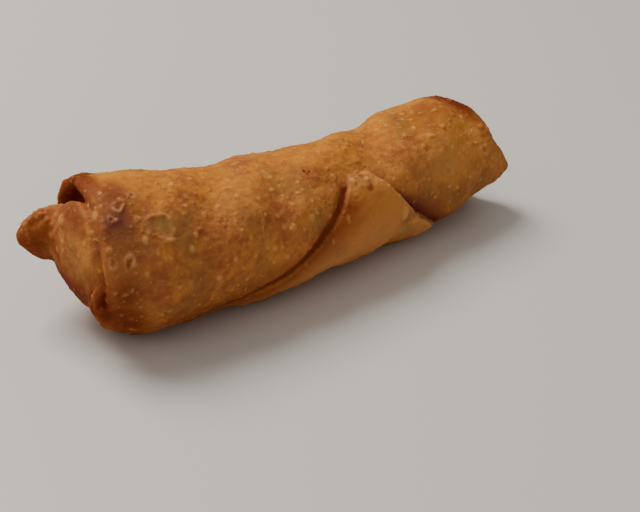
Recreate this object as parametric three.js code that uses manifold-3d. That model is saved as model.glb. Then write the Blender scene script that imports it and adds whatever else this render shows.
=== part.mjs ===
// A fried spring roll: one square wrapper rolled corner to corner round its filling, both ends folded in.
// Millimetres, +Z up, +X towards the blunt end, -Y towards the side that shows the closing corner.
// The shapes are made straight, in (along, across, up) from the roll's centre line, and then bent with it.
import * as THREE from "three";
import { mergeVertices } from "three/addons/utils/BufferGeometryUtils.js";
import Module from "manifold-3d";

const wasm = await Module();
wasm.setup();

const DEG = Math.PI / 180;
const smoothStep = THREE.MathUtils.smoothstep;
const bell = (x) => Math.exp(-x * x);

// Driving dimensions
const bend = { radius: 340, nearX: -22, nearY: -6.3 }; // the roll bows towards -Y
const girth = { mean: 16.4, taper: 2.2, taperAt: -18.5, taperOver: 36 };
const bulges = [
  { at: -52, over: 12, by: 0.7 },
  { at: -14, over: 12, by: 0.45 },
  { at: 40, over: 17, by: 1.4 },
];
const rest = { clear: 0.15, slope: 0.01 }; // height of the centre line over the radius
const wrapper = { thickness: 1.3, layerEnd: 318 * DEG, stepOver: 12 * DEG };
const openEnd = { along: -64.4, radius: 17.1, flare: 3.9, flareTo: 62 * DEG, from: -50 };
const openWave = { by: 0.8, at: 78 * DEG }; // the open rim is set back at the top and at the bottom
const openCut = { at: 48 * DEG, over: 14 * DEG, by: 2.2 };
const bluntEnd = { along: 54.1, tilt: 4.6, tiltTo: 202 * DEG, shrink: 0.5, from: 40 };
const bluntCorner = { at: 202 * DEG, over: 32 * DEG, by: 1.6, out: 2.6 };
const bluntCut = { at: 150 * DEG, over: 26 * DEG, by: 1.9 };
const lip = { inner: 0.85, recess: 6.0, dish: 1.8 };
// The fold inside the open end; its middle leans towards the ear
const cap = { apex: -70.4, edge: -65.0, root: -52, fill: 0.88, lean: [5.6, 2.4], cone: 1.2 };
const capFuller = [
  { by: 0.07, at: 126 * DEG, over: 36 * DEG },
  { by: 0.05, at: 214 * DEG, over: 26 * DEG },
];
const capDent = { by: 3.4, at: 300 * DEG, over: 44 * DEG };
const pocket = { by: 7.4, at: 58 * DEG, over: 34 * DEG }; // where the cap stays clear of the lip
const ear = {
  length: 14.8,
  blunt: 0.42, // the power by which a lobe widens from its tip
  slimmer: 0.5, // what the root of a lobe loses of its width
  lobes: [
    { tip: [-76.4, 10.6, 6.2], root: [10.0, 7.0], spread: 2.05, slim: 0.9 },
    { tip: [-77.2, 11.0, 4.3], root: [12.6, -1.6], spread: 2.45, slim: 0.75 },
  ],
};
const corner = {
  tip: 124 * DEG, // angle round the roll
  // where each edge runs, by powers of the turn past the tip
  openEdge: [2.2, -10.5, 0.2, -4.7],
  bluntEdge: [8.4, 8.5, 2.5],
  bluntTo: 26.5, // where its side corner lies
  tipOver: 0.07, // the turn within which the tip narrows
  end: 330 * DEG,
  lift: 1.1, // how far the free edge stands off the layer below
  liftOver: 5,
};
const seam = { radius: 0.9, depth: 0.2, beside: 1.4, to: 232 * DEG, shoulderOver: 6 };
const fold = {
  // how far out of the rim, angle in degrees, distance from the centre line
  ridge: [
    [-0.6, 160, 14.0],
    [0.6, 170, 13.0],
    [1.5, 182, 12.3],
    [1.5, 196, 12.4],
    [0.4, 206, 13.6],
    [-1, 206, 15.2],
    [-3.4, 202, 13.2],
  ],
  ridgeRadius: 1.35,
  hole: [
    [-0.4, 164, 15.6],
    [-0.3, 171, 15.4],
    [0.1, 180, 14.6],
    [0.4, 190, 13.6],
  ],
  holeRadius: 1.2,
};
const lumps = { count: 9, height: 0.2, seed: 45 };
// The filling's larger swells and dents: along, angle in degrees, reach along, reach round in degrees, height
const swells = [
  [-26, 56, 9, 50, -1.5],
  [0, 52, 6, 45, 1.3],
  [44, 46, 4, 45, -0.3],
  [57, 52, 5, 40, 1.5],
  [-52, 60, 5, 45, 0.5],
  [-60, 240, 5, 34, 0.8],
  [-51, 228, 5, 28, -1.0],
  [-38, 226, 5.5, 32, -1.5],
  [-6, 230, 5, 32, -1.7],
  [35, 215, 5, 30, 1.4],
  [49, 228, 5, 30, -1.0],
  [25, 212, 4, 25, -0.8],
  [48, 80, 5, 28, 0.8],
  [-64, 64, 5, 18, -0.8],
];

// Numbers from 0 to 1 that are the same each time
function makeRandom(seed) {
  let state = seed;
  return () => {
    state = (state * 16807) % 2147483647;
    return state / 2147483647;
  };
}

const turn = (angle) => ((angle % (2 * Math.PI)) + 2 * Math.PI) % (2 * Math.PI);
const apart = (angle, at) => Math.atan2(Math.sin(angle - at), Math.cos(angle - at));
const bellAt = (angle, { at, over }) => bell(apart(angle, at) / over);

// The filling's lumps: a few long waves along and round the roll
const lumpWaves = (() => {
  const random = makeRandom(lumps.seed);
  return Array.from({ length: lumps.count }, () => ({
    along: 0.12 + 0.3 * random(),
    round: 1 + Math.floor(5 * random()),
    phase: 2 * Math.PI * random(),
  }));
})();

function lumpHeight(along, angle) {
  const wavy = lumpWaves.reduce(
    (sum, w) => sum + lumps.height * Math.sin(w.along * along + w.round * angle + w.phase),
    0,
  );
  return swells.reduce(
    (sum, [at, degrees, over, round, by]) =>
      sum + by * bell((along - at) / over) * bellAt(angle, { at: degrees * DEG, over: round * DEG }),
    wavy,
  );
}

function girthAt(along) {
  const tapered = girth.mean - girth.taper * Math.tanh((along - girth.taperAt) / girth.taperOver);
  return bulges.reduce((sum, { at, over, by }) => sum + by * bell((along - at) / over), tapered);
}

// How much higher the layer lies than the one under it, falling to nothing over the last part of a turn
function spiralHeight(angle) {
  const past = turn(angle - corner.tip);
  const layer = wrapper.layerEnd - corner.tip;
  if (past < layer) return wrapper.thickness * smoothStep(past, layer - wrapper.stepOver, layer);
  return (wrapper.thickness * (2 * Math.PI - past)) / (2 * Math.PI - layer);
}

// Where an edge of the closing corner runs, by the turn past its tip
const edgeAt = (terms, past) => terms.reduceRight((sum, term) => sum * past + term, 0);

// The side next to the seam is as high as the corner that closes over it
function shoulder(along, angle) {
  const past = turn(angle - corner.tip);
  const beyond = edgeAt(corner.openEdge, past) - along;
  const rise = smoothStep(beyond, -seam.shoulderOver, 0) * Math.exp(-Math.max(beyond, 0) / 22);
  return wrapper.thickness * rise * smoothStep(past, 0, 0.35) * (1 - smoothStep(past, 2.4, 3.1));
}

const rimRadius = (angle) => openEnd.radius + openEnd.flare * Math.cos(angle - openEnd.flareTo);

// Radius of the layer under the closing corner, then of the whole skin
function lowRadius(along, angle) {
  const open = smoothStep(-along, -openEnd.from, -openEnd.along);
  const square = bluntCorner.by * bellAt(angle, bluntCorner) - bluntEnd.shrink;
  const plain = girthAt(along) + square * smoothStep(along, bluntEnd.from, bluntEnd.along);
  return THREE.MathUtils.lerp(plain, rimRadius(angle), open) + lumpHeight(along, angle);
}

function skinRadius(along, angle) {
  const spiral = spiralHeight(angle) * (1 - smoothStep(-along, 50, 64));
  return lowRadius(along, angle) + spiral + shoulder(along, angle);
}

const waveAt = (angle) => openWave.by * Math.cos(2 * (angle - openWave.at));

// Both end rims are cut at a slant; this is how far it moves a point
function slantBy(along, angle) {
  const open = waveAt(angle) + openCut.by * bellAt(angle, openCut);
  const square = bluntCorner.out * bellAt(angle, bluntCorner) - bluntCut.by * bellAt(angle, bluntCut);
  const blunt = bluntEnd.tilt * Math.cos(angle - bluntEnd.tiltTo) + square;
  return open * smoothStep(-along, 30, 60) + blunt * smoothStep(along, 15, 52);
}

const centreHeight = (along) => girthAt(along) + rest.clear + rest.slope * along;

// A point of the straight roll, carried to its place on the bent one
function bendPoint(along, across, up) {
  const angle = (along - bend.nearX) / bend.radius;
  const reach = bend.radius - across;
  return new THREE.Vector3(
    bend.nearX + reach * Math.sin(angle),
    bend.nearY + bend.radius - reach * Math.cos(angle),
    up + centreHeight(along),
  );
}

function roundPoint(along, angle, radius) {
  return bendPoint(along, radius * Math.cos(angle), radius * Math.sin(angle));
}

function toManifold(points, corners) {
  const triangles = new Uint32Array(corners);
  return new wasm.Manifold(new wasm.Mesh({ numProp: 3, vertProperties: points, triVerts: triangles }));
}

// Moves each vertex of a geometry, and closes it into a solid for joining and cutting
function solid(geometry, place) {
  const bare = geometry.clone();
  bare.deleteAttribute("normal");
  bare.deleteAttribute("uv");
  const merged = mergeVertices(bare, 1e-3);
  const position = merged.getAttribute("position");
  const point = new THREE.Vector3();
  for (let i = 0; i < position.count; i++) {
    const moved = place(point.fromBufferAttribute(position, i));
    position.setXYZ(i, moved.x, moved.y, moved.z);
  }
  const corners = [];
  for (let i = 0; i < merged.index.count; i += 3) {
    const [a, b, c] = [0, 1, 2].map((k) => merged.index.getX(i + k));
    if (a !== b && b !== c && c !== a) corners.push(a, b, c);
  }
  const made = toManifold(position.array, corners);
  if (made.volume() > 0) return made;
  return toManifold(position.array, corners.reverse()); // it was inside out
}

// The rolled body: a tube that is open and flared at one end and folded flat at the other
function makeBody() {
  const steps = 34;
  const from = openEnd.along + 1.4;
  const to = bluntEnd.along - 2.6;
  const floor = openEnd.along + lip.recess;
  const profile = [
    [0, floor],
    [0.45, floor],
    [lip.inner - 0.05, floor - 0.6],
    [lip.inner, floor - 2.2],
    [lip.inner + 0.005, openEnd.along + 1.2],
    [lip.inner + 0.03, openEnd.along + 0.3],
    [lip.inner + 0.075, openEnd.along],
    [0.985, openEnd.along + 0.5],
  ];
  for (let i = 0; i <= steps; i++) profile.push([1, THREE.MathUtils.lerp(from, to, i / steps)]);
  profile.push(
    [0.975, bluntEnd.along - 1.3],
    [0.93, bluntEnd.along - 0.4],
    [0.87, bluntEnd.along],
    [0.8, bluntEnd.along - 0.5],
    [0.7, bluntEnd.along - lip.dish],
    [0.35, bluntEnd.along - lip.dish - 0.3],
    [0, bluntEnd.along - lip.dish],
  );
  const outline = profile.map(([share, along]) => new THREE.Vector2(share, along));
  return solid(new THREE.LatheGeometry(outline, 54), (p) => {
    const angle = turn(Math.atan2(p.z, p.x));
    const share = Math.hypot(p.x, p.z);
    const level = p.y > to ? share : 1; // the end face is flat, however its rim is cut
    return roundPoint(p.y + level * slantBy(p.y, angle), angle, share * skinRadius(p.y, angle));
  });
}

// The folded-in end that bulges out of the open rim, short of it where the pocket shows
function makeCap() {
  const rings = 6;
  const profile = [new THREE.Vector2(0, cap.root), new THREE.Vector2(0.97, cap.root)];
  for (let i = 0; i <= rings; i++) {
    const swing = (i / rings) * 90 * DEG;
    const share = Math.max(Math.cos(swing), 0) ** cap.cone;
    profile.push(new THREE.Vector2(share, THREE.MathUtils.lerp(cap.edge, cap.apex, Math.sin(swing))));
  }
  profile[profile.length - 1].x = 0;
  return solid(new THREE.LatheGeometry(profile, 32), (p) => {
    const angle = turn(Math.atan2(p.z, p.x));
    const out = smoothStep(-p.y, -cap.edge - 3, -cap.apex);
    const room = pocket.by * bellAt(angle, pocket) + capDent.by * out * bellAt(angle, capDent);
    const fill = capFuller.reduce((sum, bulge) => sum + bulge.by * bellAt(angle, bulge), cap.fill);
    const radius = fill * rimRadius(angle) - room;
    const along = p.y + waveAt(angle) * (1 - out);
    return bendPoint(along, radius * p.x + cap.lean[0] * out, radius * p.z + cap.lean[1] * out);
  });
}

// The ear: the wrapper's side corner, folded into two lobes that stand out of the open end as a blunt beak
function makeLobe({ tip, root, spread, slim }) {
  const rings = 8;
  const profile = [];
  for (let i = 0; i <= rings; i++) {
    const depth = ear.length * (i / rings) ** 2;
    const slimmer = 1 - ear.slimmer * smoothStep(depth, 0.35 * ear.length, ear.length);
    profile.push(new THREE.Vector2(spread * depth ** ear.blunt * slimmer, depth));
  }
  profile.push(new THREE.Vector2(0, ear.length));
  return solid(new THREE.LatheGeometry(profile, 18), (p) => {
    const t = p.y / ear.length;
    const across = THREE.MathUtils.lerp(tip[1], root[0], t) + slim * p.x;
    return bendPoint(tip[0] + p.y, across, THREE.MathUtils.lerp(tip[2], root[1], t) + p.z);
  });
}

// The wrapper's last corner, which closes the roll: a triangle of skin wrapped round from below
function makeCorner() {
  const columns = 14;
  const rows = 26;
  const box = new THREE.BoxGeometry(1, 1, 1, columns, rows, 1);
  return solid(box, (p) => {
    const past = Math.max(0.5 - p.y, 0) ** 1.3 * (corner.end - corner.tip);
    const angle = corner.tip + past;
    const right = Math.min(edgeAt(corner.bluntEdge, past), corner.bluntTo);
    const edge = Math.max(edgeAt(corner.openEdge, past), openEnd.along + 4);
    const left = THREE.MathUtils.lerp(edge, right - 0.3, Math.max(1 - past / corner.tipOver, 0));
    const along = THREE.MathUtils.lerp(left, right, p.x + 0.5);
    const free = smoothStep(past, 0.02, 0.5) * (1 - smoothStep(past, 1.45, 2.0));
    const lift = corner.lift * free * bell((right - along) / corner.liftOver);
    const rounding = 0.35 * smoothStep(Math.abs(p.x), 0.46, 0.5);
    const tuck = 0.6 * smoothStep(angle, wrapper.layerEnd, corner.end);
    const top = lowRadius(along, angle) + wrapper.thickness + lift - rounding - tuck;
    const lifted = smoothStep(lift, 0.1, 0.5);
    const thickness = wrapper.thickness + 0.6 * (1 - lifted) - 0.15 * lifted;
    return roundPoint(along + slantBy(along, angle), angle, p.z > 0 ? top : top - thickness);
  });
}

// A round bar along points given as (along, angle, radius)
function bar(stations, radius, steps) {
  const extrudePath = new THREE.CatmullRomCurve3(stations.map((station) => roundPoint(...station)));
  const section = new THREE.Shape().absarc(0, 0, radius, 0, 2 * Math.PI);
  const settings = { steps, extrudePath, curveSegments: 4, bevelEnabled: false };
  return solid(new THREE.ExtrudeGeometry(section, settings), (p) => p);
}

// The dark line beside the closing corner
function makeSeam() {
  const count = 16;
  const fade = 4; // stations over which it fades out at either end
  const stations = [];
  for (let i = 0; i <= count; i++) {
    const past = THREE.MathUtils.lerp(0, seam.to - corner.tip, i / count);
    const angle = corner.tip + past;
    const along = edgeAt(corner.openEdge, past) - seam.beside;
    const faded = 1 - smoothStep(Math.min(i, count - i), 0, fade);
    const middle = lowRadius(along, angle) + wrapper.thickness - seam.depth + seam.radius * faded;
    stations.push([along + slantBy(along, angle), angle, middle]);
  }
  return bar(stations, seam.radius, 34);
}

// The small fold of the rim at the front of the open end, and the hole it leads into
const besideRim = ([out, degrees, r]) => [openEnd.along - out, degrees * DEG, r];
const makeFold = () => bar(fold.ridge.map(besideRim), fold.ridgeRadius, 16);
const makeFoldHole = () => bar(fold.hole.map(besideRim), fold.holeRadius, 10);

// Blisters that broke and left a ring: along, angle in degrees, radius
const rings = [
  [-59.1, 111, 1.45],
  [-61.5, 118, 0.9],
  [-55.2, 104, 0.9],
  [-58.8, 149, 1.2],
  [-62.6, 144, 0.95],
  [-51.2, 130, 3.0],
];
const ringWire = { least: 0.25, share: 0.1 }; // half the thickness of a ring
// Blisters that stayed whole
const domes = { count: 26, smallest: 0.9, spread: 1.1, height: 0.42, proud: 0.05, seed: 19 };
const domeRow = { fromOpen: 14, fromBlunt: 8 };

function onSkin(along, angle, local) {
  const middle = skinRadius(along, angle);
  return roundPoint(along + local.x + slantBy(along, angle), angle + local.y / middle, middle + local.z);
}

function makeRing([along, degrees, size]) {
  const torus = new THREE.TorusGeometry(size, ringWire.least + ringWire.share * size, 5, 10);
  return solid(torus, (p) => onSkin(along, degrees * DEG, p));
}

function makeDomes() {
  const random = makeRandom(domes.seed);
  const from = openEnd.along + domeRow.fromOpen;
  const to = bluntEnd.along - domeRow.fromBlunt;
  const made = [];
  for (let i = 0; i < domes.count; i++) {
    const along = THREE.MathUtils.lerp(from, to, (i + 0.8 * random()) / domes.count);
    const angle = 2 * Math.PI * random();
    const dome = new THREE.SphereGeometry(domes.smallest + domes.spread * random() ** 2, 7, 4);
    const covered = turn(angle - corner.tip) < 3.5; // by the closing corner
    if (!covered) made.push(solid(dome, (p) => onSkin(along, angle, p.setZ(domes.height * p.z + domes.proud))));
  }
  return made;
}

// What is under the surface that the roll rests on
function makeGround() {
  return solid(new THREE.BoxGeometry(400, 400, 100), (p) => p.setZ(p.z - 50));
}

function makeRoll() {
  const folds = [makeCap(), ...ear.lobes.map(makeLobe), makeCorner(), makeFold()];
  const raised = [...folds, ...rings.map(makeRing), ...makeDomes()];
  const joined = raised.reduce((whole, piece) => whole.add(piece), makeBody());
  const cut = joined.subtract(makeSeam()).subtract(makeFoldHole()).subtract(makeGround());
  // Hollows that joining sealed are filled, and scraps dropped
  return cut
    .decompose()
    .filter((part) => part.volume() > 0)
    .sort((a, b) => b.volume() - a.volume())[0];
}

function toGeometry(made) {
  const mesh = made.getMesh();
  return new THREE.BufferGeometry()
    .setAttribute("position", new THREE.BufferAttribute(mesh.vertProperties, 3))
    .setIndex(new THREE.BufferAttribute(mesh.triVerts, 1));
}

const geometry = toGeometry(makeRoll());
geometry.computeBoundingBox();
const box = geometry.boundingBox;
geometry.translate(-(box.min.x + box.max.x) / 2, -(box.min.y + box.max.y) / 2, -box.min.z);
geometry.computeVertexNormals();

const friedWrapper = new THREE.MeshStandardMaterial({ color: "#a8662a", roughness: 0.5, metalness: 0 });
const springRoll = new THREE.Mesh(geometry, friedWrapper);
springRoll.name = "spring_roll";

const group = new THREE.Group();
group.add(springRoll);
export default group;
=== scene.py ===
# A fried spring roll: one square wheat wrapper rolled corner to corner round its filling, deep-fried
import math
import bpy
import numpy as np
from mathutils import Matrix, Vector


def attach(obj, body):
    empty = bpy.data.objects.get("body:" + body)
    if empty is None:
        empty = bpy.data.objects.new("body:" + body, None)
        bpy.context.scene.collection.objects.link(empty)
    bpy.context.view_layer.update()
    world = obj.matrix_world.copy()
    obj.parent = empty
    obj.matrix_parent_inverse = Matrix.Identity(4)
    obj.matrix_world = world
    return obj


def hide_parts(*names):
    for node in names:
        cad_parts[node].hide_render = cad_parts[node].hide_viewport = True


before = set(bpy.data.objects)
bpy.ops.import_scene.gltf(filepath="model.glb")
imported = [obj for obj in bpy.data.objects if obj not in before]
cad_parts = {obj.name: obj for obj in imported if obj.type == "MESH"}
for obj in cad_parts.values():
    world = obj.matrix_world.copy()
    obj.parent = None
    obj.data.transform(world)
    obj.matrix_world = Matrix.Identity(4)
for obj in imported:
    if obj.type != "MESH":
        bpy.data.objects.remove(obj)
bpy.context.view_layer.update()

mm = 0.001  # in metres
# The roll is worked out in mm, straight, as (along it, angle round it, distance from its middle line),
# then bent. Angle 0 is the back, 90 the top, 180 the side with the closing corner.
roll = {
    "toPart": (6.217, 3.783, 0.0),  # from the roll's own drawing to the part's frame
    "bendRadius": 340, "bendAtX": -22, "bendAtY": -6.3,
    "girth": 16.4, "taper": 2.2, "taperAt": -18.5, "taperOver": 36,
    "bulges": [(-52, 12, 0.7), (-14, 12, 0.45), (40, 17, 1.4)],
    "restClear": 0.15, "restSlope": 0.01,
    "lumps": 9, "lumpHeight": 0.2, "lumpSeed": 45,
    "openAt": -64.4, "openRadius": 17.1, "openFlare": 3.9, "openFlareTo": 62, "openFrom": -50,
    "openWave": 0.8, "openWaveAt": 78, "openCutAt": 48, "openCutOver": 14, "openCutBy": 2.2,
    "bluntAt": 54.1, "bluntTilt": 4.6, "bluntTiltTo": 202, "bluntShrink": 0.5, "bluntFrom": 40,
    "cornerAt": 202, "cornerOver": 32, "cornerBy": 1.6, "cornerOut": 2.6,
    "cutAt": 150, "cutOver": 26, "cutBy": 1.9,
    "openSlantOver": (30, 60), "bluntSlantOver": (15, 52), "spiralFades": (50, 64),
    # swells and dents: along, degrees round, reach along, reach round, height
    "swells": [
        (-26, 56, 9, 50, -1.5), (0, 52, 6, 45, 1.3), (44, 46, 4, 45, -0.3), (57, 52, 5, 40, 1.5),
        (-52, 60, 5, 45, 0.5), (-60, 240, 5, 34, 0.8), (-51, 228, 5, 28, -1.0), (-38, 226, 5.5, 32, -1.5),
        (-6, 230, 5, 32, -1.7), (35, 215, 5, 30, 1.4), (49, 228, 5, 30, -1.0), (25, 212, 4, 25, -0.8),
        (48, 80, 5, 28, 0.8), (-64, 64, 5, 18, -0.8),
    ],
    "skin": 1.3, "layerEnd": 318, "stepOver": 12,
}
# The closing corner's two edges run along as a + b * past + c * past ** 2 and so on, past being the turn
# from its tip in radians
flap = {
    "tipAngle": 124, "endAngle": 330, "openEdge": (2.2, -10.5, 0.2, -4.7), "bluntEdge": (8.4, 8.5, 2.5),
    "bluntTo": 26.5, "ripples": [(0.15, 9), (0.1, 23)], "tipOver": 0.07, "tipWidth": 0.3,
    "tipClose": 0.6, "tipCloseTo": 0.3, "openStop": 4,
    "lift": 1.1, "liftOver": 5.0, "liftFrom": (0.02, 0.5), "liftTo": (1.45, 2.0),
    "edgeRound": 0.4, "edgeOver": 0.5, "tuck": 0.6, "bedded": 0.6, "thinned": 0.25,
    "rows": 220, "columns": 110, "rowsCloser": 1.3,  # the rows lie closer together near the tip
}
seam = {  # the groove along the closing corner's left edge, and the shoulder of skin beside it
    "shoulderOver": 6, "shoulderFades": 22, "shoulderFrom": 0.35, "shoulderTo": (2.4, 3.1),
    "from": (0.03, 0.25), "to": (1.8, 2.05), "outside": (13.0, 14.0),
    "depth": 1.05, "wide": 2.5, "narrow": 1.3, "wideAt": 0.8, "wideOver": 0.65,
    "nearSide": (-0.15, 0.35), "farSide": (0.1, 2.0),  # mm from the edge, and shares of the width
    "nearBead": 0.06, "nearBeadAt": -0.5, "nearBeadOver": 0.4,
    "farBead": 0.15, "farBeadAt": 1.9, "farBeadOver": 0.9,  # the last two are shares of the width
}
skinMesh = {"voxel": 0.32, "relaxed": 5, "relaxedAgain": 1, "mostTriangles": 185000}


def smooth(x, low, high):
    t = np.clip((x - low) / (high - low), 0, 1)
    return t * t * (3 - 2 * t)


def bell(x):
    return np.exp(-x * x)


def turn(angle):
    return np.mod(angle, 2 * math.pi)


def seededNumbers(seed):
    state = seed
    while True:
        state = (state * 16807) % 2147483647
        yield state / 2147483647


draw = seededNumbers(roll["lumpSeed"])
lumpWaves = []  # waves per mm along, waves round, phase
for _ in range(roll["lumps"]):
    lumpWaves.append((0.12 + 0.3 * next(draw), 1 + int(5 * next(draw)), 2 * math.pi * next(draw)))


def apart(angle, degrees):  # the shorter way round between two angles
    off = angle - math.radians(degrees)
    return np.arctan2(np.sin(off), np.cos(off))


def bellRound(angle, degrees, over):
    return bell(apart(angle, degrees) / math.radians(over))


def lumpHeight(along, angle):
    height = sum(roll["lumpHeight"] * np.sin(a * along + n * angle + phase) for a, n, phase in lumpWaves)
    for at, degrees, overAlong, overRound, by in roll["swells"]:
        height = height + by * bell((along - at) / overAlong) * bellRound(angle, degrees, overRound)
    return height


def girthAt(along):
    tapered = roll["girth"] - roll["taper"] * np.tanh((along - roll["taperAt"]) / roll["taperOver"])
    return tapered + sum(by * bell((along - at) / over) for at, over, by in roll["bulges"])


def pastTip(angle):
    return turn(angle - math.radians(flap["tipAngle"]))


def spiralHeight(angle):  # the layer that the closing corner ends on
    past = pastTip(angle)
    layer = math.radians(roll["layerEnd"] - flap["tipAngle"])
    under = smooth(past, layer - math.radians(roll["stepOver"]), layer)
    return roll["skin"] * np.where(past < layer, under, (2 * math.pi - past) / (2 * math.pi - layer))


def edgeAt(name, past):
    return sum(term * past ** k for k, term in enumerate(flap[name]))


def beyondSeam(along, angle):
    return edgeAt("openEdge", pastTip(angle)) - along


def shoulder(along, angle):
    past = pastTip(angle)
    beyond = beyondSeam(along, angle)
    rise = smooth(beyond, -seam["shoulderOver"], 0) * np.exp(-np.maximum(beyond, 0) / seam["shoulderFades"])
    shown = smooth(past, 0, seam["shoulderFrom"])
    return roll["skin"] * rise * shown * (1 - smooth(past, *seam["shoulderTo"]))


def rimRadius(angle):  # of the open end
    return roll["openRadius"] + roll["openFlare"] * np.cos(angle - math.radians(roll["openFlareTo"]))


def lowRadius(along, angle):
    opened = smooth(-along, -roll["openFrom"], -roll["openAt"])
    square = roll["cornerBy"] * bellRound(angle, roll["cornerAt"], roll["cornerOver"])
    atBlunt = smooth(along, roll["bluntFrom"], roll["bluntAt"])
    plain = girthAt(along) + (square - roll["bluntShrink"]) * atBlunt
    return plain + (rimRadius(angle) - plain) * opened + lumpHeight(along, angle)


def skinRadius(along, angle):
    spiral = spiralHeight(angle) * (1 - smooth(-along, *roll["spiralFades"]))
    return lowRadius(along, angle) + spiral + shoulder(along, angle)


def slantBy(along, angle):  # both rims are cut at a slant
    opened = roll["openWave"] * np.cos(2 * (angle - math.radians(roll["openWaveAt"])))
    opened = opened + roll["openCutBy"] * bellRound(angle, roll["openCutAt"], roll["openCutOver"])
    square = roll["cornerOut"] * bellRound(angle, roll["cornerAt"], roll["cornerOver"])
    square = square - roll["cutBy"] * bellRound(angle, roll["cutAt"], roll["cutOver"])
    blunt = roll["bluntTilt"] * np.cos(angle - math.radians(roll["bluntTiltTo"])) + square
    return opened * smooth(-along, *roll["openSlantOver"]) + blunt * smooth(along, *roll["bluntSlantOver"])


def centreHeight(along):
    return girthAt(along) + roll["restClear"] + roll["restSlope"] * along


def bend(along, across, up):
    swing = (along - roll["bendAtX"]) / roll["bendRadius"]
    reach = roll["bendRadius"] - across
    x = roll["bendAtX"] + reach * np.sin(swing)
    y = roll["bendAtY"] + roll["bendRadius"] - reach * np.cos(swing)
    return np.stack(np.broadcast_arrays(x, y, up + centreHeight(along)), axis=-1)


def onRoll(along, angle, radius):
    return bend(along, radius * np.cos(angle), radius * np.sin(angle))


def unroll(points):  # back from a bent point to (along, angle, radius)
    dx = points[:, 0] - roll["bendAtX"]
    dy = roll["bendAtY"] + roll["bendRadius"] - points[:, 1]
    slanted = roll["bendAtX"] + np.arctan2(dx, dy) * roll["bendRadius"]
    across = roll["bendRadius"] - np.hypot(dx, dy)
    up = points[:, 2] - centreHeight(slanted)
    angle = turn(np.arctan2(up, across))
    along = slanted.copy()
    for _ in range(4):  # settles in a few rounds
        along = slanted - slantBy(along, angle)
    return along, angle, np.hypot(across, up)


# Shells: closed skins that are later fused into one

def closedShell(points, faces):
    first, second, third = (points[[face[k] for face in faces]] for k in (0, 1, 2))
    turnedIn = np.einsum("ij,ij->", first, np.cross(second, third)) < 0
    return points, [face[::-1] for face in faces] if turnedIn else faces


def latheShell(profile, around, place):  # the profile starts and ends on the axis
    share, along = np.array(profile, dtype=float).T
    angle = np.arange(around) * 2 * math.pi / around
    rings = place(share[1:-1, None], along[1:-1, None], angle[None, :]).reshape(-1, 3)
    poles = [place(share[[k]], along[[k]], np.array([0.0])).reshape(1, 3) for k in (0, -1)]
    count = len(profile) - 2
    faces = []
    for i in range(count - 1):
        for j in range(around):
            k = (j + 1) % around
            faces.append((i * around + j, i * around + k, (i + 1) * around + k, (i + 1) * around + j))
    start, end, last = count * around, count * around + 1, (count - 1) * around
    faces += [(start, (j + 1) % around, j) for j in range(around)]
    faces += [(end, last + j, last + (j + 1) % around) for j in range(around)]
    return closedShell(np.concatenate([rings] + poles), faces)


def slabShell(top, bottom):  # two like grids of points, joined round their edges
    rows, columns = top.shape[:2]
    points = np.concatenate([top.reshape(-1, 3), bottom.reshape(-1, 3)])
    under = rows * columns
    faces = []
    for i in range(rows - 1):
        for j in range(columns - 1):
            a, d = i * columns + j, (i + 1) * columns + j
            faces += [(a, a + 1, d + 1, d), (under + d, under + d + 1, under + a + 1, under + a)]
    edge = list(range(columns)) + [i * columns + columns - 1 for i in range(1, rows)]
    edge += [(rows - 1) * columns + j for j in range(columns - 2, -1, -1)]
    edge += [i * columns for i in range(rows - 2, 0, -1)]
    for a, b in zip(edge, edge[1:] + edge[:1]):
        faces.append((b, a, under + a, under + b))
    return closedShell(points, faces)


def smoothPath(stops, count):  # Catmull-Rom through the stops
    stops = np.array(stops, dtype=float)
    padded = np.vstack([2 * stops[0] - stops[1], stops, 2 * stops[-1] - stops[-2]])
    path = []
    for t in np.linspace(0, len(stops) - 1 - 1e-9, count):
        i, f = int(t), t - int(t)
        a, b, c, d = padded[i:i + 4]
        curve = 2 * b + (c - a) * f + (2 * a - 5 * b + 4 * c - d) * f ** 2 + (3 * b - a - 3 * c + d) * f ** 3
        path.append(0.5 * curve)
    return np.array(path)


def tubeShell(path, radii, around=16):
    ahead = np.gradient(path, axis=0)
    ahead /= np.linalg.norm(ahead, axis=1, keepdims=True)
    side = np.cross(ahead, [0.0, 0.0, 1.0])
    side /= np.linalg.norm(side, axis=1, keepdims=True)
    over = np.cross(side, ahead)
    count = len(path)
    steps = [(0.0, 0)] + [(1.0, i) for i in range(count)] + [(0.0, count - 1)]

    def place(share, at, angle):
        i = np.broadcast_to(at, np.broadcast_shapes(at.shape, angle.shape)).astype(int)
        reach = (share * radii[i])[..., None]
        return path[i] + reach * (np.cos(angle)[..., None] * side[i] + np.sin(angle)[..., None] * over[i])

    return latheShell(steps, around, place)


lips = {  # both ends' profiles, as shares of the radius and mm in from the rim
    "open": [
        (0, 6.0), (0.3, 6.0), (0.6, 6.0), (0.8, 5.4), (0.85, 3.8), (0.85, 2.0), (0.855, 1.2), (0.87, 0.4),
        (0.9, 0), (0.96, 0.1), (0.985, 0.5), (0.997, 1.0),
    ],
    "blunt": [
        (0.985, 1.5), (0.96, 0.8), (0.92, 0.3), (0.87, 0), (0.81, 0.4), (0.7, 1.8), (0.35, 2.2), (0, 1.8),
    ],
    "straight": (1.6, 2.4, 300),  # where the skin between them starts and ends, and its rings
    "ragged": [(0.6, 3, 1.1), (0.5, 7, 0.0), (0.35, 13, 2.0)],  # height, waves round, phase
    "uneven": 0.35, "openOver": (56, 64), "bluntOver": (46, 54), "endFaceFrom": 51, "around": 240,
}


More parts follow.
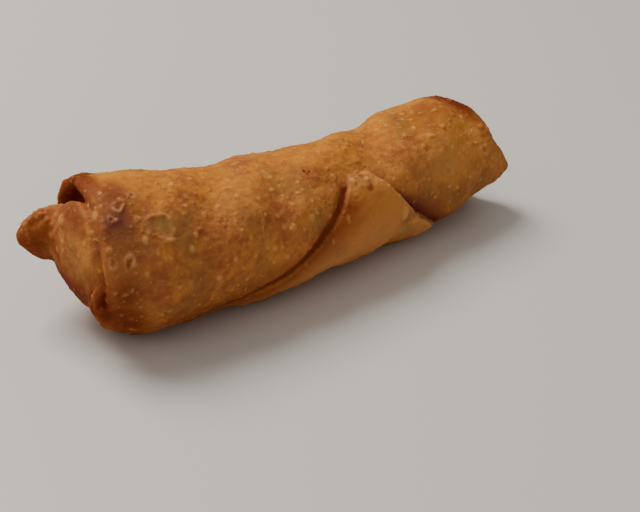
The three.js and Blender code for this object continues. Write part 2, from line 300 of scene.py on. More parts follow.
def bodyShell():
    low, high = roll["openAt"], roll["bluntAt"]
    first, last, rings = lips["straight"]
    profile = [(share, low + inward) for share, inward in lips["open"]]
    profile += [(1, at) for at in np.linspace(low + first, high - last, rings)]
    profile += [(share, high - inward) for share, inward in lips["blunt"]]

    def place(share, along, angle):
        atEnds = smooth(-along, *lips["openOver"]) + smooth(along, *lips["bluntOver"])
        waves = sum(by * np.sin(n * angle + phase) for by, n, phase in lips["ragged"])
        ragged = lips["uneven"] * waves * atEnds
        level = np.where(along > lips["endFaceFrom"], share, 1.0)  # keeps the end face flat
        slanted = along + level * (slantBy(along, angle) + ragged)
        return onRoll(slanted, angle, share * skinRadius(along, angle))

    return latheShell(profile, lips["around"], place)


cap = {
    "apex": -70.4, "edge": -65.0, "root": -52, "fill": 0.88, "lean": (5.6, 2.4), "cone": 1.2,
    "pocketBy": 7.4, "pocketAt": 58, "pocketOver": 34, "dentBy": 3.4, "dentAt": 300, "dentOver": 44,
    "leanFrom": 3, "fuller": [(126, 36, 0.07), (214, 26, 0.05)],  # degrees round, reach round, by
    "around": 120,
}


def capShell():  # the folded-in end that bulges out of the open rim
    length = cap["apex"] - cap["edge"]
    profile = [(0, cap["root"]), (0.97, cap["root"])]
    profile += [(1, at) for at in np.linspace(cap["root"] + 1, cap["edge"] + 0.5, 20)]
    for swing in np.linspace(0, math.pi / 2, 40)[:-1]:
        profile.append((math.cos(swing) ** cap["cone"], cap["edge"] + length * math.sin(swing)))
    profile.append((0, cap["apex"]))

    def place(share, along, angle):
        room = cap["pocketBy"] * bellRound(angle, cap["pocketAt"], cap["pocketOver"])
        out = smooth(-along, -cap["edge"] - cap["leanFrom"], -cap["apex"])
        room = room + cap["dentBy"] * out * bellRound(angle, cap["dentAt"], cap["dentOver"])
        full = cap["fill"] + sum(by * bellRound(angle, at, over) for at, over, by in cap["fuller"])
        radius = share * (full * rimRadius(angle) - room)
        wave = roll["openWave"] * np.cos(2 * (angle - math.radians(roll["openWaveAt"]))) * (1 - out)
        leanX, leanZ = cap["lean"]
        return bend(along + wave, radius * np.cos(angle) + leanX * out, radius * np.sin(angle) + leanZ * out)

    return latheShell(profile, cap["around"], place)


ear = {  # the wrapper's side corner, folded into two lobes that stand out of the open end as a beak
    "blunt": 0.42,  # the power by which a lobe widens from its tip
    "slimmer": 0.5, "slimmerFrom": 0.35, "around": 60,
    "wrinkles": [(0.05, 4, 3), (0.04, 2, 17)],  # height, waves round, waves along
    "lobes": [
        {"tip": (-76.4, 10.6, 6.2), "root": (-62, 10.0, 7.0), "spread": 2.05, "slim": 0.9},
        {"tip": (-77.2, 11.0, 4.3), "root": (-62, 12.6, -1.6), "spread": 2.45, "slim": 0.75},
    ],
}


def lobeShell(lobe):
    (tipAlong, tipAcross, tipUp), (rootAlong, rootAcross, rootUp) = lobe["tip"], lobe["root"]
    length = rootAlong - tipAlong
    depths = length * np.linspace(0, 1, 40) ** 2  # closer together near the tip
    slimmer = 1 - ear["slimmer"] * smooth(depths, ear["slimmerFrom"] * length, length)
    profile = list(zip(lobe["spread"] * depths ** ear["blunt"] * slimmer, depths)) + [(0, length)]

    def place(share, depth, angle):
        t = depth / length
        wrinkle = 1 + sum(by * np.sin(n * angle + m * t) for by, n, m in ear["wrinkles"])
        across = tipAcross + (rootAcross - tipAcross) * t + lobe["slim"] * share * wrinkle * np.cos(angle)
        up = tipUp + (rootUp - tipUp) * t + share * wrinkle * np.sin(angle)
        return bend(tipAlong + depth, across, up)

    return latheShell(profile, ear["around"], place)


def flapShell():  # the wrapper's last corner: a triangle of skin wrapped round from below
    down = np.linspace(0, 1, flap["rows"])[:, None] ** flap["rowsCloser"]
    across = np.linspace(0, 1, flap["columns"])[None, :]
    past = math.radians(flap["endAngle"] - flap["tipAngle"]) * down
    angle = math.radians(flap["tipAngle"]) + past
    right = np.minimum(edgeAt("bluntEdge", past), flap["bluntTo"])
    right = right + sum(by * np.sin(n * past) for by, n in flap["ripples"])
    blunted = np.clip(1 - past / flap["tipOver"], 0, 1)
    left = np.maximum(edgeAt("openEdge", past), roll["openAt"] + flap["openStop"])
    left = left + (right - flap["tipWidth"] - left) * blunted
    along = left + (right - left) * across
    free = smooth(past, *flap["liftFrom"]) * (1 - smooth(past, *flap["liftTo"]))
    lift = flap["lift"] * free * bell((right - along) / flap["liftOver"])
    edge = flap["edgeRound"] * (1 - smooth(np.minimum(right - along, along - left), 0, flap["edgeOver"]))
    tuck = flap["tuck"] * smooth(angle, math.radians(roll["layerEnd"]), math.radians(flap["endAngle"]))
    close = flap["tipClose"] * (1 - smooth(past, 0, flap["tipCloseTo"]))
    top = lowRadius(along, angle) + roll["skin"] + lift - edge - tuck - close
    lifted = smooth(lift, 0.1, 0.5)
    thickness = roll["skin"] + flap["bedded"] * (1 - lifted) - flap["thinned"] * lifted - edge
    slanted = along + slantBy(along, angle)
    return slabShell(onRoll(slanted, angle, top), onRoll(slanted, angle, top - thickness))


fold = {  # a small fold of the rim at the front
    "ridge": [  # out of the rim, degrees round, distance from the middle line
        (-0.6, 160, 14.0), (0.6, 170, 13.0), (1.5, 182, 12.3), (1.5, 196, 12.4), (0.4, 206, 13.6),
        (-1, 206, 15.2), (-3.4, 202, 13.2),
    ],
    "radius": 1.35, "endRound": 0.15,
}


def foldPath(count):
    stops = np.array([(roll["openAt"] - out, math.radians(degrees), r) for out, degrees, r in fold["ridge"]])
    return smoothPath(onRoll(stops[:, 0], stops[:, 1], stops[:, 2]), count)


def foldShell():
    path = foldPath(40)
    swing = np.linspace(fold["endRound"], math.pi - fold["endRound"], len(path))
    return tubeShell(path, fold["radius"] * np.sqrt(np.sin(swing)))


def meshFrom(name, points, faces):
    mesh = bpy.data.meshes.new(name)
    mesh.from_pydata(points.tolist(), [], faces)
    mesh.update()
    return mesh


def evaluatedMesh(piece):  # the plain mesh that the modifiers make
    graph = bpy.context.evaluated_depsgraph_get()
    return bpy.data.meshes.new_from_object(piece.evaluated_get(graph))


def vectorsOf(mesh, name):  # "co" for its points, "normal" for the ways they face
    flat = np.empty(len(mesh.vertices) * 3)
    mesh.vertices.foreach_get(name, flat)
    return flat.reshape(-1, 3)


def movePoints(mesh, points):
    mesh.vertices.foreach_set("co", points.ravel())
    mesh.update()


def relax(mesh, times):
    ends = np.empty(len(mesh.edges) * 2, dtype=np.int32)
    mesh.edges.foreach_get("vertices", ends)
    a, b = ends.reshape(-1, 2).T
    points = vectorsOf(mesh, "co")
    count = np.bincount(a, minlength=len(points)) + np.bincount(b, minlength=len(points))
    for _ in range(times):
        total = np.empty_like(points)
        for k in range(3):
            onward = np.bincount(a, points[b, k], len(points))
            total[:, k] = onward + np.bincount(b, points[a, k], len(points))
        points += 0.5 * (total / count[:, None] - points)
    movePoints(mesh, points)


def swapMesh(piece, mesh):
    old = piece.data
    piece.modifiers.clear()
    piece.data = mesh
    bpy.data.meshes.remove(old)


shells = [bodyShell(), capShell(), flapShell(), foldShell()] + [lobeShell(lobe) for lobe in ear["lobes"]]
allPoints, allFaces, offset = [], [], 0
for points, faces in shells:
    allPoints.append(points)
    allFaces += [tuple(offset + k for k in face) for face in faces]
    offset += len(points)
piece = bpy.data.objects.new("fried_skin", meshFrom("fried_skin", np.concatenate(allPoints), allFaces))
bpy.context.collection.objects.link(piece)
remesh = piece.modifiers.new("fuse", "REMESH")
remesh.mode = "VOXEL"
remesh.voxel_size = skinMesh["voxel"]
remesh.use_smooth_shade = True
swapMesh(piece, evaluatedMesh(piece))
relax(piece.data, skinMesh["relaxed"])
print("skins fused:", len(piece.data.vertices), "points")

# Rings left by blisters that broke: along, degrees round, radius, height, how much longer they are round the
# roll, and how olive the skin is inside
brokenBlisters = [
    (-59.1, 110.5, 1.25, 0.36, 0.95, 0), (-61.5, 119, 0.7, 0.22, 1.0, 0), (-55.2, 104, 0.75, 0.3, 1.0, 0),
    (-59.2, 149.5, 0.85, 0.42, 1.9, 0), (-62.6, 147, 0.8, 0.28, 1.4, 0), (-51.2, 130, 3.0, 0.3, 1.0, 0.9),
    (46.3, 156, 1.2, 0.26, 1.0, 0), (32.2, 159, 1.1, 0.22, 1.0, 0), (4.4, 131, 1.9, 0.2, 1.0, 0.5),
]
ring = {
    "oval": 0.16, "kinked": 0.1, "width": 0.28, "widerBySize": 0.07, "sunk": 0.45, "rimWidth": 0.33,
    # how the rim's height and colour vary: their mean, once round, often round, and how often
    "height": (1, 0.5, 0.3, 7), "colour": (0.75, 0.35, 0.25, 5),
}
# Blisters that stayed whole, and holes where the height is below nothing:
# along, degrees round, reach along, reach round, height
smallMarks = [
    (-12.2, 138, 0.55, 0.55, 0.25), (-25.3, 138, 0.5, 0.5, 0.2), (-32.7, 145, 0.45, 0.5, 0.2),
    (-20.5, 119, 0.8, 0.6, 0.2), (14.7, 142, 0.6, 0.6, 0.25), (26.0, 158, 0.6, 0.6, 0.25),
    (-3.1, 161, 0.7, 1.2, 0.35), (14.8, 174, 1.2, 2.4, 0.5), (18.8, 188, 1.9, 0.8, 0.35),
    (20.2, 194, 1.7, 0.8, 0.35), (-45.0, 150, 0.8, 1.0, 0.3), (-43.5, 118, 0.6, 0.6, 0.2),
    (-30.2, 108, 0.5, 0.5, 0.2), (36.5, 118, 0.6, 0.6, 0.25), (41.0, 133, 0.6, 0.7, 0.25),
    (-14.6, 128, 0.8, 0.5, 0.2), (-35.5, 122, 0.7, 0.5, 0.2), (30.0, 104, 0.7, 0.7, 0.2),
    (-64.3, 110, 0.6, 1.2, 0.35), (-9.6, 110, 0.6, 0.6, -0.3), (-8.4, 112, 0.55, 0.6, -0.3),
    (-9.3, 114, 0.5, 0.5, -0.3), (5.5, 128, 1.1, 1.0, -0.2), (5.8, 140.5, 1.6, 1.5, -0.2),
    (46.3, 156, 0.5, 0.8, -0.14), (-58.9, 149.5, 0.45, 1.5, -0.14), (-60.5, 119.5, 0.5, 0.5, 0.25),
    (-55.0, 137, 0.8, 1.3, 0.3), (-49.6, 141, 2.0, 0.45, 0.25), (6.3, 133, 0.8, 0.6, 0.3),
    (1.9, 131, 0.8, 0.8, 0.3), (5.2, 122, 0.8, 0.5, 0.25), (40.1, 151, 0.7, 0.5, 0.25),
    (32.7, 178, 0.6, 0.6, 0.2), (37.3, 174, 0.6, 0.6, 0.25), (27.1, 181, 0.5, 0.5, 0.2),
    (30.8, 174, 0.6, 0.6, 0.25), (32.6, 92, 0.5, 0.5, 0.25), (32.3, 121, 0.6, 0.6, 0.25),
    (46.3, 115, 0.5, 0.7, 0.25), (25.4, 106, 0.6, 0.6, 0.2), (44.7, 146, 0.7, 0.5, 0.25),
    (47.1, 167, 0.6, 0.6, 0.2), (-27.0, 147, 0.4, 0.4, 0.25), (-30.1, 118, 0.5, 0.5, 0.25),
    (-25.2, 125, 0.4, 0.5, 0.2), (-17.8, 117, 0.35, 0.4, 0.25), (-43.4, 141, 0.7, 0.8, 0.25),
    (-39.7, 176, 0.8, 0.8, 0.2), (-35.5, 164, 0.6, 0.9, 0.2), (-38.7, 93, 0.8, 0.6, 0.2),
    (-19.7, 154, 0.5, 0.5, 0.2), (-12.0, 148, 0.5, 0.5, 0.2), (7.0, 96, 0.6, 0.5, 0.2),
    (-1.4, 92, 0.6, 0.5, 0.2), (-21.6, 176, 0.5, 0.5, 0.2), (-8.0, 177, 0.6, 0.9, 0.3),
    (11.9, 207, 0.8, 0.9, 0.25), (17.5, 182, 0.5, 0.6, 0.25),
]
# Blisters on the folds of the open end: place in mm in the roll's drawing, radius, height
wholeBlisters = [
    ((-68.9, -1.7, 30.9), 1.7, 0.65), ((-69.3, 4.8, 27.6), 0.9, 0.5), ((-68.6, 3.5, 26.6), 0.8, 0.5),
    ((-67.2, -8.0, 34.9), 0.6, 0.25), ((-69.2, 5.8, 28.9), 0.9, 0.5), ((-70.8, 5.3, 25.4), 0.8, 0.4),
    ((-67.9, 2.8, 29.4), 0.9, 0.45), ((-68.1, 7.0, 29.4), 1.0, 0.5), ((-69.1, -7.0, 26.8), 0.9, 0.3),
    ((-69.4, -3.5, 26.0), 0.9, 0.3), ((-69.0, -0.6, 28.6), 0.7, 0.25), ((-69.7, 3.0, 24.6), 0.8, 0.4),
    ((-69.6, 7.6, 28.7), 0.75, 0.65), ((-71.0, 7.8, 28.4), 0.75, 0.65), ((-72.5, 7.3, 27.4), 0.8, 0.65),
    ((-73.8, 7.4, 26.0), 0.75, 0.6), ((-74.4, 7.4, 24.3), 0.7, 0.5), ((-69.9, 6.4, 28.3), 0.75, 0.55),
    ((-71.3, 6.2, 27.9), 0.7, 0.5), ((-73.6, 6.6, 25.2), 0.75, 0.6), ((-73.3, 6.3, 24.0), 0.85, 0.55),
    ((-71.9, 6.2, 26.6), 1.5, -0.65), ((-72.8, 6.2, 22.8), 0.7, 0.45), ((-70.6, 5.6, 22.6), 0.8, 0.4),
]
# Layers folded over the blunt end: way their top side lies, distance of their edge from the middle, height
endFold = {
    "layers": [(65, 1.5, 1.2), (190, 5.5, 0.9), (300, 7.5, 0.7)], "way": (0.975, 0.222, 0.0),
    "from": (47, 49), "to": (0.82, 0.9), "waveHeight": 0.8, "waves": 0.35, "edgeOver": 0.5,
}
# Creases and ridges: places they pass through, the way they push the skin, width, and how dark their painted
# shade is
strokes = [
    ([(-69.0, 0.2, 27.4), (-69.8, 3.2, 22.7), (-69.6, 4.5, 19.4), (-68.6, 6.0, 15.7)],
     (-0.6, -0.3, 0), 0.9, 0),
    ([(-72.4, 6.4, 18.8), (-70.3, 5.8, 17.4), (-68.8, 5.0, 16.8)], (0, 0, 0.7), 1.6, 0),
    ([(-69.6, 2.6, 27.0), (-70.6, 5.2, 22.7), (-70.4, 6.5, 19.4)], (0.35, 0.15, 0), 1.1, 0.14),
    ([(-66.4, -18.4, 22.4), (-66.4, -18.4, 19.8), (-66.4, -17.6, 17.4), (-66.6, -16.9, 15.8)],
     (0.85, 0.95, 0), 0.85, 0.4),
    ([(-66.8, -17.6, 17.8), (-66.9, -17.0, 16.2)], (0.9, 0.8, 0.2), 1.3, 0.45),
    ([(-68.0, -15.6, 20.6), (-68.9, -15.4, 17.6), (-68.6, -15.8, 14.4), (-67.2, -17.2, 12.6)],
     (-0.6, -0.3, 0), 1.0, 0),
    ([(-69.2, -13.4, 23.0), (-69.8, -13.2, 19.6), (-70.0, -13.0, 16.0)], (0.6, 0.3, 0), 1.4, 0.3),
    ([(-61.6, 12.8, 27.0), (-61.3, 11.8, 30.0)], (-0.6, 0.3, 0), 2.2, 0),
    ([(59.5, -12.6, 14.6), (60.5, -11.6, 14.0)], (0.8, -0.5, -0.2), 2.0, 0),
]


def seamOff(along, angle):  # square distance in mm from the closing corner's edge, positive beyond it
    past = pastTip(angle)
    slope = sum(k * term * past ** (k - 1) for k, term in enumerate(flap["openEdge"]) if k) / girthAt(along)
    return beyondSeam(along, angle) / np.sqrt(1 + slope * slope)


def seamWidth(past):
    return seam["narrow"] + (seam["wide"] - seam["narrow"]) * bell((past - seam["wideAt"]) / seam["wideOver"])


def alongSeam(past):  # where there is a groove
    return smooth(past, *seam["from"]) * (1 - smooth(past, *seam["to"]))


def ringsNear(along, angle):  # how far each broken blister's middle is, and the way there
    for k, (at, degrees, size, height, longer, olive) in enumerate(brokenBlisters):
        ahead, aside = along - at, apart(angle, degrees) * girthAt(at) / longer
        way = np.arctan2(aside, ahead) + k  # so that no two rings look alike
        uneven = 1 + ring["oval"] * np.sin(2 * way) + ring["kinked"] * np.sin(3 * way + k)
        yield np.hypot(ahead, aside) * uneven, way, 2 * k, size, height, olive


def ringVaries(name, way, phase):
    mean, once, often, waves = ring[name]
    return mean + once * np.sin(way + phase) + often * np.sin(waves * way)


def markReach(along, angle, spot):  # 1 at the edge of a small mark
    at, degrees, overAlong, overRound = spot
    return np.hypot((along - at) / overAlong, apart(angle, degrees) * girthAt(at) / overRound)


def outerSkin(along, angle, radius):  # 1 on the roll's outside, 0 in the open end
    return 1 - smooth(skinRadius(along, angle) - radius, 1.2, 2.2)


def reachTo(points, path):
    return np.min([np.linalg.norm(points - stop, axis=1) for stop in path], axis=0)


def carve(mesh):
    points, normals = vectorsOf(mesh, "co"), vectorsOf(mesh, "normal")
    along, angle, radius = unroll(points)
    off, width = seamOff(along, angle), seamWidth(pastTip(angle))
    near = alongSeam(pastTip(angle)) * smooth(radius, *seam["outside"])
    out = -seam["depth"] * near * smooth(off, *seam["nearSide"]) * (1 - smooth(off / width, *seam["farSide"]))
    out += seam["nearBead"] * near * bell((off - seam["nearBeadAt"]) / seam["nearBeadOver"])
    out += seam["farBead"] * near * bell((off / width - seam["farBeadAt"]) / seam["farBeadOver"])
    outer = outerSkin(along, angle, radius)
    for reach, way, phase, size, height, olive in ringsNear(along, angle):
        ridge = bell((reach - size) / (ring["width"] + ring["widerBySize"] * size))
        ridge = ridge * ringVaries("height", way, phase)
        out += height * outer * (ridge - ring["sunk"] * (1 - smooth(reach, 0.2, size)))
    for *spot, height in smallMarks:
        reach = markReach(along, angle, spot)
        out += height * outer * np.clip(1.1 - reach * reach, 0, 1)
    for middle, size, height in wholeBlisters:
        reach = reachTo(points, [middle]) / size
        out += height * np.clip(1 - reach * reach, 0, 1)
    moved = points + normals * out[:, None]
    for stops, push, width, dark in strokes:
        moved += np.array(push) * bell(reachTo(points, smoothPath(stops, 24)) / width)[:, None]
    onEnd = smooth(along, *endFold["from"]) * (1 - smooth(radius / skinRadius(along, angle), *endFold["to"]))
    for degrees, edge, height in endFold["layers"]:
        aside = radius * np.sin(angle - degrees)  # here the degrees only set the layers' waves apart
        lie = radius * np.cos(angle - math.radians(degrees)) - edge
        lie += endFold["waveHeight"] * np.sin(aside * endFold["waves"])
        raised = height * onEnd * smooth(lie, -endFold["edgeOver"], endFold["edgeOver"])
        moved += np.array(endFold["way"]) * raised[:, None]
    movePoints(mesh, moved)


carve(piece.data)
relax(piece.data, skinMesh["relaxedAgain"])
print("seam, blisters and creases carved")


# Nodes: wires that Python can reckon with, and one way to add any node

class Wire:  # a socket that can be added to, multiplied and so on
    def __init__(self, bench, socket):
        self.bench, self.socket = bench, socket

    def maths(self, operation, *others):
        values = {0: self} | {k + 1: other for k, other in enumerate(others)}
        return self.bench.node("ShaderNodeMath", {"operation": operation}, values)

    def __add__(self, other):
        return self.maths("ADD", other)

    def __sub__(self, other):
        return self.maths("SUBTRACT", other)

    def __mul__(self, other):
        return self.maths("MULTIPLY", other)

    def __truediv__(self, other):
        return self.maths("DIVIDE", other)

    def __rsub__(self, other):
        return self.bench.node("ShaderNodeMath", {"operation": "SUBTRACT"}, {0: other, 1: self})

    __radd__ = __add__
    __rmul__ = __mul__

    def power(self, other):
        return self.maths("POWER", other)

    def between(self, low, high):  # 0 below low, 1 above high, smooth on the way
        settings = {"interpolation_type": "SMOOTHSTEP"}
        values = {"Value": self, "From Min": low, "From Max": high}
        return self.bench.node("ShaderNodeMapRange", settings, values)


class Bench:
    def __init__(self, tree):
        self.tree = tree

    def node(self, kind, settings=None, values=None, out=0):
        made = self.tree.nodes.new(kind)
        for name, value in (settings or {}).items():
            setattr(made, name, value)
        for name, value in (values or {}).items():
            if isinstance(value, Wire):
                self.tree.links.new(value.socket, made.inputs[name])
            else:
                made.inputs[name].default_value = value
        return Wire(self, made.outputs[out])

    def vector(self, operation, values, out=0):
        return self.node("ShaderNodeVectorMath", {"operation": operation}, values, out)


def paint(code):  # a web colour as the linear one that a socket takes
    parts = [int(code[k:k + 2], 16) / 255 for k in (1, 3, 5)]
    return tuple(c / 12.92 if c <= 0.04045 else ((c + 0.055) / 1.055) ** 2.4 for c in parts) + (1.0,)


# Small blisters, grain and puckers, all over the skin
blisters = {
    "Density": 0.075, "Least distance": 1.3, "Smallest": 0.42, "Largest": 1.25, "Height": 0.42,
    "Grain height": 0.16, "Pucker height": 0.34, "Seed": 11,
}
waviness = {
    "Grain height": {"Scale": 1.3, "Detail": 3.0, "Roughness": 0.6},
    "Pucker height": {"Scale": 0.34, "Detail": 2.0, "Roughness": 0.5},
}


def blisterTree():
    tree = bpy.data.node_groups.new("friedBlisters", "GeometryNodeTree")
    tree.interface.new_socket("Skin", in_out="INPUT", socket_type="NodeSocketGeometry")
    for name in blisters:
        kind = "NodeSocketInt" if name == "Seed" else "NodeSocketFloat"
        tree.interface.new_socket(name, in_out="INPUT", socket_type=kind)
    tree.interface.new_socket("Finish", in_out="INPUT", socket_type="NodeSocketMaterial")
    tree.interface.new_socket("Skin", in_out="OUTPUT", socket_type="NodeSocketGeometry")
    bench = Bench(tree)
    given = tree.nodes.new("NodeGroupInput")
    want = {socket.name: Wire(bench, socket) for socket in given.outputs if socket.name}
    onPoints = {"data_type": "FLOAT", "domain": "POINT"}
    place = bench.node("GeometryNodeInputPosition")
    scattered = bench.node("GeometryNodeDistributePointsOnFaces", {"distribute_method": "POISSON"}, {
        "Mesh": want["Skin"], "Distance Min": want["Least distance"], "Density Max": want["Density"],
        "Seed": want["Seed"],
    })
    anyShare = {2: 0.0, 3: 1.0, "Seed": want["Seed"]}  # a float from 0 to 1
    chance = bench.node("FunctionNodeRandomValue", {"data_type": "FLOAT"}, anyShare, 1)
    sizes = want["Smallest"] + (want["Largest"] - want["Smallest"]) * chance.power(2.6)
    dots = bench.node("GeometryNodeStoreNamedAttribute", onPoints, {
        "Geometry": scattered, "Name": "size", "Value": sizes,
    })
    nearest = bench.node("GeometryNodeSampleNearest", {"domain": "POINT"}, {
        "Geometry": dots, "Sample Position": place,
    })
    middle = bench.node("GeometryNodeSampleIndex", onPoints | {"data_type": "FLOAT_VECTOR"}, {
        "Geometry": dots, "Value": place, "Index": nearest,
    })
    named = bench.node("GeometryNodeInputNamedAttribute", {"data_type": "FLOAT"}, {"Name": "size"})
    size = bench.node("GeometryNodeSampleIndex", onPoints, {
        "Geometry": dots, "Value": named, "Index": nearest,
    })
    away = bench.vector("DISTANCE", {0: place, 1: middle}, "Value")
    reach = away / size
    dome = (1 - reach.between(0.15, 1.0)).power(1.2)
    opened = size.between(0.62, 0.7) * (1 - reach.between(0.1, 0.55))  # the larger ones sank in the middle
    lift = (dome - 0.55 * opened) * size * want["Height"]
    for name, noise in waviness.items():
        lift = lift + (bench.node("ShaderNodeTexNoise", {}, {"Vector": place} | noise) - 0.5) * want[name] * 2
    normal = bench.node("GeometryNodeInputNormal")
    shift = bench.vector("SCALE", {0: normal, "Scale": lift})
    marked = bench.node("GeometryNodeStoreNamedAttribute", onPoints, {
        "Geometry": want["Skin"], "Name": "blister", "Value": dome,
    })
    raised = bench.node("GeometryNodeSetPosition", {}, {"Geometry": marked, "Offset": shift})
    plain = bench.node("GeometryNodeRealizeInstances", {}, {"Geometry": raised})
    dressed = bench.node("GeometryNodeSetMaterial", {}, {"Geometry": plain, "Material": want["Finish"]})
    result = tree.nodes.new("NodeGroupOutput")
    tree.links.new(dressed.socket, result.inputs["Skin"])
    return tree


# The toast colour is the fried brown and also paints shade; groove paints the shade in the seam, the creases
# and the open end; plum paints a shadow as well as a stain
skinColours = {
    "gold": "#c47e3e", "amber": "#c97f24", "brown": "#965330", "olive": "#876434", "toastAndShade": "#71301a",
    "plum": "#5a2428", "speck": "#da9c58", "pink": "#c58a60", "grooveShade": "#6a1f0e", "ruddy": "#94381a",
}
skinNoise = {  # scale, detail, roughness, shift
    "patch": (75.0, 3.0, 0.55, 0.0), "mottle": (300.0, 4.0, 0.6, 0.3), "pebble": (620.0, 3.0, 0.6, 1.1),
    "grain": (1300.0, 4.0, 0.65, 0.7), "greenish": (110.0, 2.0, 0.5, 1.9),
}
skinFlecks = {"fleck": (420.0, 0.1, 0.42, 0.82), "dust": (1000.0, 0.15, 0.45, 0.83)}  # scale, sizes, rarity
skinShows = {  # how much of each colour comes through where its mark is full
    "green": 0.45, "olive": 0.45, "pink": 0.75, "fleck": 0.5, "dust": 0.4, "blister": 0.55,
    "paleAndHighlight": 0.66, "grain": 0.28, "grooveShade": 0.8,
    "lessBlister": 0.25,  # where the skin is calm
}


def skinMaterial():
    material = bpy.data.materials.new("friedSkin")
    material.use_nodes = True
    tree = material.node_tree
    tree.nodes.clear()
    bench = Bench(tree)
    colour = {name: paint(code) for name, code in skinColours.items()}

    def noise(scale, detail, roughness, shift):
        spot = bench.node("ShaderNodeMapping", {}, {"Vector": coords, "Location": (shift, shift, shift)})
        values = {"Vector": spot, "Scale": scale, "Detail": detail, "Roughness": roughness}
        return bench.node("ShaderNodeTexNoise", {}, values)

    def mark(name):
        return bench.node("ShaderNodeAttribute", {"attribute_name": name}, {}, "Fac")

    def blend(amount, first, second):
        return bench.node("ShaderNodeMix", {"data_type": "RGBA"}, {0: amount, 6: first, 7: second}, 2)

    coords = bench.node("ShaderNodeTexCoord", {}, {}, "Object")
    patch, mottle, pebble, grain, greenish = (noise(*values) for values in skinNoise.values())
    calm = mark("calm")

    def flecks(scale, smallest, largest, rare):  # uneven pale spots, one in some of the cells
        cloud = {"Vector": coords, "Scale": scale * 2.5, "Detail": 2.0}
        stir = bench.node("ShaderNodeTexNoise", {}, cloud, "Color")
        stir = bench.vector("SUBTRACT", {0: stir, 1: (0.5, 0.5, 0.5)})
        stir = bench.vector("SCALE", {0: stir, "Scale": 0.9 / scale})
        spot = bench.vector("ADD", {0: coords, 1: stir})
        cell = {"Vector": spot, "Scale": scale}
        reach = bench.node("ShaderNodeTexVoronoi", {}, cell, "Distance")
        chance = {"Color": bench.node("ShaderNodeTexVoronoi", {}, cell, "Color")}
        first, second = (bench.node("ShaderNodeSeparateColor", {}, chance, k) for k in (0, 1))
        size = smallest + (largest - smallest) * second.power(2.5)
        shown = (first + mottle * 0.5).between(rare, rare + 0.1)
        return (1 - reach.between(size * 0.35, size)) * shown

    fleck = flecks(*skinFlecks["fleck"]) * (1 - calm)
    dust = flecks(*skinFlecks["dust"]) * (1 - calm)
    # sunny: painted light, the lit top of the roll tinted a more saturated amber
    bright = blend(mark("litTopAmber"), colour["gold"], colour["amber"])
    # golden: lighter skin on the closing corner and the cap's side, and a painted highlight on the right
    # part's bulge
    lightness = patch * 0.7 + mottle * 0.7 + pebble * 0.5 + mark("goldenAndHighlight") * 0.3 - 0.45
    tint = blend(lightness.between(0.22, 0.76), colour["brown"], bright)
    domes = mark("blister") * (skinShows["blister"] - calm * skinShows["lessBlister"])
    layers = [  # how much each colour covers the ones before it
        (greenish.between(0.52, 0.72) * skinShows["green"] + mark("olive") * skinShows["olive"], "olive"),
        # toast: fried browning, and painted shade where the spots in toastAndShadeOn say so
        ((mark("toastAndShade") * (mottle * 0.9 + 0.6)).between(0.08, 1.0), "toastAndShade"),
        # stain: a plum painted shadow beside the closing corner, and a plum patch on the collar
        (mark("stainAndShadow") * greenish.between(0.1, 0.5), "plum"),
        (mark("pink") * skinShows["pink"], "pink"),
        (fleck * skinShows["fleck"], "speck"),
        (dust * skinShows["dust"], "speck"),
        (domes * mottle.between(0.35, 0.6), "speck"),
        # pale: the pale tops of blisters, and a painted highlight on the right part's bulge
        (mark("paleAndHighlight") * skinShows["paleAndHighlight"], "speck"),
        (grain.between(0.56, 0.74) * skinShows["grain"], "toastAndShade"),
        # groove: painted shade in the seam's groove, the creases and the open end
        (mark("grooveShade") * skinShows["grooveShade"], "grooveShade"),
        (mark("ruddy"), "ruddy"),
    ]
    for amount, name in layers:
        tint = blend(amount, tint, colour[name])
    roughness = 0.54 + (mottle - 0.5) * 0.3 + (grain - 0.5) * 0.25 + fleck * 0.1
    height = grain * 0.45 + pebble * 0.5 + fleck * 0.5 + dust * 0.25 + mottle * 0.4
    bump = bench.node("ShaderNodeBump", {}, {"Height": height, "Strength": 0.55, "Distance": 0.0006})
    shader = bench.node("ShaderNodeBsdfPrincipled", {}, {
        "Base Color": tint, "Roughness": roughness, "Normal": bump, "IOR": 1.45,
        "Subsurface Weight": 0.12, "Subsurface Radius": (1.0, 0.35, 0.12), "Subsurface Scale": 0.0016,
        "Coat Weight": 0.08, "Coat Roughness": 0.4, "Specular IOR Level": 0.0,
    })
    output = tree.nodes.new("ShaderNodeOutputMaterial")
    tree.links.new(shader.socket, output.inputs["Surface"])
    return material


finish = skinMaterial()
scatter = piece.modifiers.new("blisters", "NODES")
scatter.node_group = blisterTree()
for item in scatter.node_group.interface.items_tree:
    if item.in_out == "INPUT" and item.name in blisters:
        scatter[item.identifier] = blisters[item.name]
    if item.in_out == "INPUT" and item.name == "Finish":
        scatter[item.identifier] = finish
swapMesh(piece, evaluatedMesh(piece))
print("blisters raised")

thin = piece.modifiers.new("thin", "DECIMATE")
thin.ratio = min(1.0, skinMesh["mostTriangles"] / (2 * len(piece.data.polygons)))
swapMesh(piece, evaluatedMesh(piece))
print("thinned to", len(piece.data.polygons), "faces")


# Patches of the skin: along, reach along, degrees round, reach round, how much
patches = {
    "toastAndShade": [
        (-59, 6, 120, 50, 0.6), (-60, 5.5, 180, 38, 0.7), (-60, 7, 215, 45, 0.85), (-59.5, 4.5, 98, 22, 0.75),
        (38, 12, 95, 28, 0.5), (48, 4, 85, 22, 0.75),
    ],
    "pink": [(-59, 5, 125, 35, 0.16)],
    # a painted highlight on the bulge of the right part
    "goldenAndHighlight": [(35, 11, 148, 30, 1.0)],
    "stainAndShadow": [(-61, 3.2, 122, 11, 1.0)],
    "olive": [(37, 8, 196, 16, 0.7)],
    # a painted highlight on the bulge of the right part
    "paleAndHighlight": [(31, 8, 148, 20, 0.28)],
}


